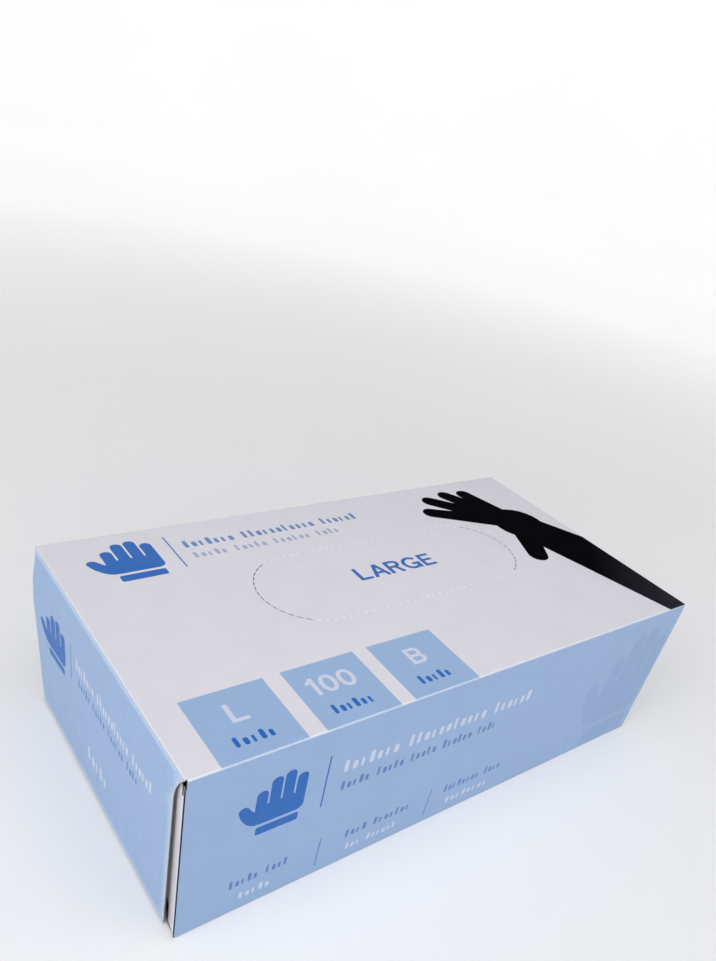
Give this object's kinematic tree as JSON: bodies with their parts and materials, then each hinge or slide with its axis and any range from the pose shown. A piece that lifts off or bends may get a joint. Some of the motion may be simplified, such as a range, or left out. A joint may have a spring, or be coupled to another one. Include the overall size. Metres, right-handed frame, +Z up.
{
  "type": "disposable glove dispensing carton",
  "caption": "Paperboard carton of disposable nitrile gloves, with a perforated tear-out dispensing opening in its top, folding end flaps and gloves packed flat inside.",
  "frame": {"origin": "middle of the base, on the surface the carton lies on", "axes": "+X along the length towards the printed hand's wrist end, -Y towards the front panel, +Z up through the dispensing opening"},
  "size_m": [0.24, 0.128, 0.075],
  "materials": {
    "white_board": "matte, lightly mottled white cartonboard with print",
    "blue_board": "satin, light blue flood print on white cartonboard",
    "bare_board": "matte, unprinted cartonboard",
    "dried_glue": "satin, dried packaging glue",
    "nitrile": "satin black nitrile film, finely creased"
  },
  "bodies": {
    "carton": {"top_panel": "white_board", "front_panel": "blue_board", "bottom_panel": "blue_board", "back_panel": "blue_board", "glue_flap": "bare_board", "seam_glue": "dried_glue", "perforation_ties": "bare_board", "glove_bundle_01": "nitrile", "glove_bundle_02": "nitrile", "glove_bundle_03": "nitrile", "glove_bundle_04": "nitrile", "glove_bundle_05": "nitrile", "glove_bundle_06": "nitrile", "glove_bundle_07": "nitrile", "glove_bundle_08": "nitrile", "glove_bundle_09": "nitrile", "glove_091": "nitrile", "glove_092": "nitrile", "glove_093": "nitrile", "glove_094": "nitrile", "glove_095": "nitrile", "glove_096": "nitrile", "glove_097": "nitrile", "glove_098": "nitrile", "glove_099": "nitrile"},
    "tear_out": {"tear_out_panel": "white_board"},
    "first_glove": {"glove_100_first": "nitrile"},
    "left_outer": {"left_outer_flap": "blue_board"},
    "left_inner": {"left_inner_flap": "bare_board", "left_flap_glue": "dried_glue"},
    "left_front_dust": {"left_front_dust_flap": "bare_board"},
    "left_back_dust": {"left_back_dust_flap": "bare_board"},
    "right_outer": {"right_outer_flap": "blue_board"},
    "right_inner": {"right_inner_flap": "bare_board", "right_flap_glue": "dried_glue"},
    "right_front_dust": {"right_front_dust_flap": "bare_board"},
    "right_back_dust": {"right_back_dust_flap": "bare_board"}
  },
  "joints": [
    {"name": "left_outer_fold", "type": "hinge", "parent": "carton", "child": "left_outer", "pos_m": [-0.12, 0, 0.075], "axis": [0, 1, 0], "range_deg": [0, 180]},
    {"name": "left_inner_fold", "type": "hinge", "parent": "carton", "child": "left_inner", "pos_m": [-0.11935, 0, 0], "axis": [0, -1, 0], "range_deg": [0, 90]},
    {"name": "left_front_dust_fold", "type": "hinge", "parent": "carton", "child": "left_front_dust", "pos_m": [-0.12, -0.064, 0.0375], "axis": [0, 0, 1], "range_deg": [0, 90]},
    {"name": "left_back_dust_fold", "type": "hinge", "parent": "carton", "child": "left_back_dust", "pos_m": [-0.12, 0.064, 0.0375], "axis": [0, 0, -1], "range_deg": [0, 90]},
    {"name": "right_outer_fold", "type": "hinge", "parent": "carton", "child": "right_outer", "pos_m": [0.12, 0, 0.075], "axis": [0, -1, 0], "range_deg": [0, 180]},
    {"name": "right_inner_fold", "type": "hinge", "parent": "carton", "child": "right_inner", "pos_m": [0.11935, 0, 0], "axis": [0, 1, 0], "range_deg": [0, 90]},
    {"name": "right_front_dust_fold", "type": "hinge", "parent": "carton", "child": "right_front_dust", "pos_m": [0.12, -0.064, 0.0375], "axis": [0, 0, -1], "range_deg": [0, 90]},
    {"name": "right_back_dust_fold", "type": "hinge", "parent": "carton", "child": "right_back_dust", "pos_m": [0.12, 0.064, 0.0375], "axis": [0, 0, 1], "range_deg": [0, 90]},
    {"name": "tear_out_lift", "type": "slide", "parent": "carton", "child": "tear_out", "axis": [0, 0, 1], "range_m": [0, 0.12]},
    {"name": "first_glove_draw", "type": "slide", "parent": "carton", "child": "first_glove", "axis": [0, 0, 1], "range_m": [0, 0.06]}
  ],
  "couplings": [
    {"joint": "left_inner_fold", "follows": "left_outer_fold", "ratio": 0.5},
    {"joint": "left_front_dust_fold", "follows": "left_outer_fold", "ratio": 0.5},
    {"joint": "left_back_dust_fold", "follows": "left_outer_fold", "ratio": 0.5},
    {"joint": "right_inner_fold", "follows": "right_outer_fold", "ratio": 0.5},
    {"joint": "right_front_dust_fold", "follows": "right_outer_fold", "ratio": 0.5},
    {"joint": "right_back_dust_fold", "follows": "right_outer_fold", "ratio": 0.5},
    {"joint": "first_glove_draw", "follows": "tear_out_lift", "ratio": 0.5}
  ]
}
